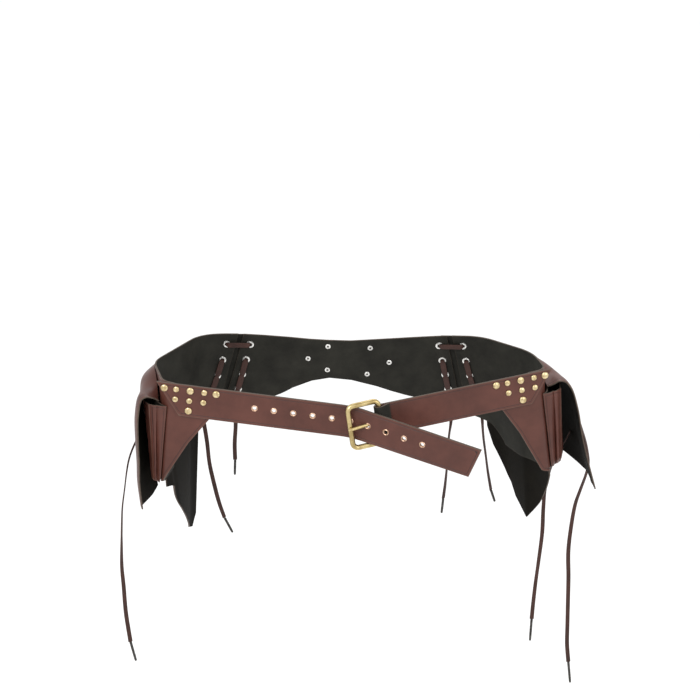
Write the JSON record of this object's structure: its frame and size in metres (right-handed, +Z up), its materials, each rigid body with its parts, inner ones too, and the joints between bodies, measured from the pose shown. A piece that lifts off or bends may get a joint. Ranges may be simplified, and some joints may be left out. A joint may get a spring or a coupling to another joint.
{
  "type": "leather hip belt with two side pouches",
  "caption": "Worn leather hip belt with a buckled front strap, a lidded pouch at each hip, laced back seams, hanging leaves and free lace ends.",
  "frame": {"origin": "Middle of the waist opening, level with the top edge of the hips and the back.", "axes": "+X to the viewer's right (the wearer's left), -Y the front with the buckle, +Z up."},
  "size_m": [0.6179, 0.2927, 0.4826],
  "materials": {
    "leather": "semi-matt reddish brown, worn",
    "lace": "matt dark brown flat lace",
    "aglet": "dark oxidised metal",
    "brass": "antique, dulled"
  },
  "bodies": {
    "root": {"side_panel_left": "leather", "side_panel_right": "leather", "back_panel": "leather", "long_strap": "leather", "short_strap": "leather", "pouch_left": "leather", "pouch_right": "leather", "pouch_flap_left": "leather", "pouch_flap_right": "leather", "rear_leaf_left": "leather", "rear_leaf_right": "leather", "lacing_tongue_left": "leather", "lacing_tongue_right": "leather", "lacing_left": "lace", "lacing_right": "lace", "lace_left_pouch": "lace", "lace_left_lacing_outer": "lace", "lace_left_lacing_inner": "lace", "lace_right_lacing_inner": "lace", "lace_right_lacing_outer": "lace", "lace_right_pouch_inner": "lace", "lace_right_pouch_outer": "lace", "aglet_left_pouch": "aglet", "aglet_left_lacing_outer": "aglet", "aglet_left_lacing_inner": "aglet", "aglet_right_lacing_inner": "aglet", "aglet_right_lacing_outer": "aglet", "aglet_right_pouch_inner": "aglet", "aglet_right_pouch_outer": "aglet", "buckle_frame": "brass", "buckle_prong": "brass", "stud_left_1": "brass", "stud_left_2": "brass", "stud_left_3": "brass", "stud_left_4": "brass", "stud_left_5": "brass", "stud_left_6": "brass", "stud_left_7": "brass", "stud_left_8": "brass", "stud_left_9": "brass", "stud_right_1": "brass", "stud_right_2": "brass", "stud_right_3": "brass", "stud_right_4": "brass", "stud_right_5": "brass", "stud_right_6": "brass", "stud_right_7": "brass", "stud_right_8": "brass", "stud_right_9": "brass", "back_rivet_1": "brass", "back_rivet_2": "brass", "back_rivet_3": "brass", "back_rivet_4": "brass", "back_rivet_5": "brass", "back_rivet_6": "brass"}
  },
  "joints": []
}
